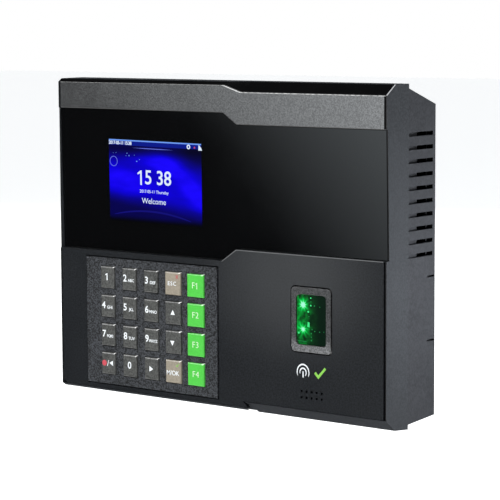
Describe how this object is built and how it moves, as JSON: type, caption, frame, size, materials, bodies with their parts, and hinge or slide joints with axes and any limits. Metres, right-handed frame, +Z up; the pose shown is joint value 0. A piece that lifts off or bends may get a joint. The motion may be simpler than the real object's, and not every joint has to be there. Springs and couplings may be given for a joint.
{
  "type": "fingerprint scanner terminal",
  "caption": "Wall-mounted fingerprint time terminal: colour display behind a black window, push-button keypad, optical finger reader, vented rear case and steel wall bracket.",
  "frame": {"origin": "middle of the wall bracket's back face, on the wall", "axes": "+Z up, +Y into the wall, +X to the right of somebody who faces the terminal"},
  "size_m": [0.193, 0.0412, 0.1535],
  "materials": {
    "case_plastic": "fine moulded texture, dark slate grey",
    "silver_trim": "silver-grey paint with a fine satin texture",
    "black_gloss": "mirror-gloss black acrylic, clear over the display",
    "panel_plastic": "fine moulded texture, near black",
    "keypad_plastic": "coarse speckled moulding",
    "key_grey": "smoked dark grey, satin",
    "key_taupe": "warm beige, satin",
    "key_green": "bright green, satin",
    "silicone_rubber": "matt silicone",
    "circuit_board": "green solder mask",
    "lcd_glass": "lit colour display",
    "sensor_silver": "satin silver-taupe",
    "optic_glass": "coated optical glass lit green from behind",
    "led_green": "lit green lamp",
    "black_plastic": "plain black moulding",
    "speaker_black": "black cone and basket",
    "battery_wrap": "blue shrink wrap",
    "terminal_green": "green terminal housing",
    "zinc_steel": "zinc-plated sheet steel"
  },
  "bodies": {
    "terminal": {"front_housing": "case_plastic", "rear_housing": "case_plastic", "top_trim_strip": "silver_trim", "display_window": "black_gloss", "lower_front_panel": "panel_plastic", "keypad_plate": "keypad_plastic", "keypad_membrane": "silicone_rubber", "keypad_board": "circuit_board", "lcd_panel": "lcd_glass", "lcd_tray": "black_plastic", "sensor_frame": "sensor_silver", "sensor_glass": "optic_glass", "sensor_module": "black_plastic", "sensor_led_upper": "led_green", "sensor_led_lower": "led_green", "main_board": "circuit_board", "battery_pack": "battery_wrap", "speaker": "speaker_black", "ethernet_socket": "zinc_steel", "usb_socket": "zinc_steel", "power_socket": "black_plastic", "terminal_block": "terminal_green", "tamper_switch": "black_plastic", "wall_bracket": "zinc_steel", "bracket_lock_screw": "zinc_steel", "case_screw_1": "zinc_steel", "board_screw_1": "zinc_steel", "case_screw_2": "zinc_steel", "board_screw_2": "zinc_steel", "case_screw_3": "zinc_steel", "board_screw_3": "zinc_steel", "case_screw_4": "zinc_steel", "board_screw_4": "zinc_steel"},
    "key_1": {"key_1": "key_grey"},
    "key_2": {"key_2": "key_grey"},
    "key_3": {"key_3": "key_grey"},
    "key_esc": {"key_esc": "key_taupe"},
    "key_f1": {"key_f1": "key_green"},
    "key_4": {"key_4": "key_grey"},
    "key_5": {"key_5": "key_grey"},
    "key_6": {"key_6": "key_grey"},
    "key_up": {"key_up": "key_grey"},
    "key_f2": {"key_f2": "key_green"},
    "key_7": {"key_7": "key_grey"},
    "key_8": {"key_8": "key_grey"},
    "key_9": {"key_9": "key_grey"},
    "key_down": {"key_down": "key_grey"},
    "key_f3": {"key_f3": "key_green"},
    "key_power_back": {"key_power_back": "key_grey"},
    "key_0": {"key_0": "key_grey"},
    "key_right": {"key_right": "key_grey"},
    "key_menu_ok": {"key_menu_ok": "key_taupe"},
    "key_f4": {"key_f4": "key_green"},
    "tamper_plunger": {"tamper_plunger": "black_plastic"}
  },
  "joints": [
    {"name": "key_1_press", "type": "slide", "parent": "terminal", "child": "key_1", "axis": [0, 1, 0], "range_m": [0, 0.0008], "stiffness_N_per_m": 1500, "springref_m": -0.0003},
    {"name": "key_2_press", "type": "slide", "parent": "terminal", "child": "key_2", "axis": [0, 1, 0], "range_m": [0, 0.0008], "stiffness_N_per_m": 1500, "springref_m": -0.0003},
    {"name": "key_3_press", "type": "slide", "parent": "terminal", "child": "key_3", "axis": [0, 1, 0], "range_m": [0, 0.0008], "stiffness_N_per_m": 1500, "springref_m": -0.0003},
    {"name": "key_esc_press", "type": "slide", "parent": "terminal", "child": "key_esc", "axis": [0, 1, 0], "range_m": [0, 0.0008], "stiffness_N_per_m": 1500, "springref_m": -0.0003},
    {"name": "key_f1_press", "type": "slide", "parent": "terminal", "child": "key_f1", "axis": [0, 1, 0], "range_m": [0, 0.0008], "stiffness_N_per_m": 1500, "springref_m": -0.0003},
    {"name": "key_4_press", "type": "slide", "parent": "terminal", "child": "key_4", "axis": [0, 1, 0], "range_m": [0, 0.0008], "stiffness_N_per_m": 1500, "springref_m": -0.0003},
    {"name": "key_5_press", "type": "slide", "parent": "terminal", "child": "key_5", "axis": [0, 1, 0], "range_m": [0, 0.0008], "stiffness_N_per_m": 1500, "springref_m": -0.0003},
    {"name": "key_6_press", "type": "slide", "parent": "terminal", "child": "key_6", "axis": [0, 1, 0], "range_m": [0, 0.0008], "stiffness_N_per_m": 1500, "springref_m": -0.0003},
    {"name": "key_up_press", "type": "slide", "parent": "terminal", "child": "key_up", "axis": [0, 1, 0], "range_m": [0, 0.0008], "stiffness_N_per_m": 1500, "springref_m": -0.0003},
    {"name": "key_f2_press", "type": "slide", "parent": "terminal", "child": "key_f2", "axis": [0, 1, 0], "range_m": [0, 0.0008], "stiffness_N_per_m": 1500, "springref_m": -0.0003},
    {"name": "key_7_press", "type": "slide", "parent": "terminal", "child": "key_7", "axis": [0, 1, 0], "range_m": [0, 0.0008], "stiffness_N_per_m": 1500, "springref_m": -0.0003},
    {"name": "key_8_press", "type": "slide", "parent": "terminal", "child": "key_8", "axis": [0, 1, 0], "range_m": [0, 0.0008], "stiffness_N_per_m": 1500, "springref_m": -0.0003},
    {"name": "key_9_press", "type": "slide", "parent": "terminal", "child": "key_9", "axis": [0, 1, 0], "range_m": [0, 0.0008], "stiffness_N_per_m": 1500, "springref_m": -0.0003},
    {"name": "key_down_press", "type": "slide", "parent": "terminal", "child": "key_down", "axis": [0, 1, 0], "range_m": [0, 0.0008], "stiffness_N_per_m": 1500, "springref_m": -0.0003},
    {"name": "key_f3_press", "type": "slide", "parent": "terminal", "child": "key_f3", "axis": [0, 1, 0], "range_m": [0, 0.0008], "stiffness_N_per_m": 1500, "springref_m": -0.0003},
    {"name": "key_power_back_press", "type": "slide", "parent": "terminal", "child": "key_power_back", "axis": [0, 1, 0], "range_m": [0, 0.0008], "stiffness_N_per_m": 1500, "springref_m": -0.0003},
    {"name": "key_0_press", "type": "slide", "parent": "terminal", "child": "key_0", "axis": [0, 1, 0], "range_m": [0, 0.0008], "stiffness_N_per_m": 1500, "springref_m": -0.0003},
    {"name": "key_right_press", "type": "slide", "parent": "terminal", "child": "key_right", "axis": [0, 1, 0], "range_m": [0, 0.0008], "stiffness_N_per_m": 1500, "springref_m": -0.0003},
    {"name": "key_menu_ok_press", "type": "slide", "parent": "terminal", "child": "key_menu_ok", "axis": [0, 1, 0], "range_m": [0, 0.0008], "stiffness_N_per_m": 1500, "springref_m": -0.0003},
    {"name": "key_f4_press", "type": "slide", "parent": "terminal", "child": "key_f4", "axis": [0, 1, 0], "range_m": [0, 0.0008], "stiffness_N_per_m": 1500, "springref_m": -0.0003},
    {"name": "tamper_plunger_press", "type": "slide", "parent": "terminal", "child": "tamper_plunger", "axis": [0, -1, 0], "range_m": [0, 0.0012], "stiffness_N_per_m": 400, "springref_m": -0.001}
  ]
}
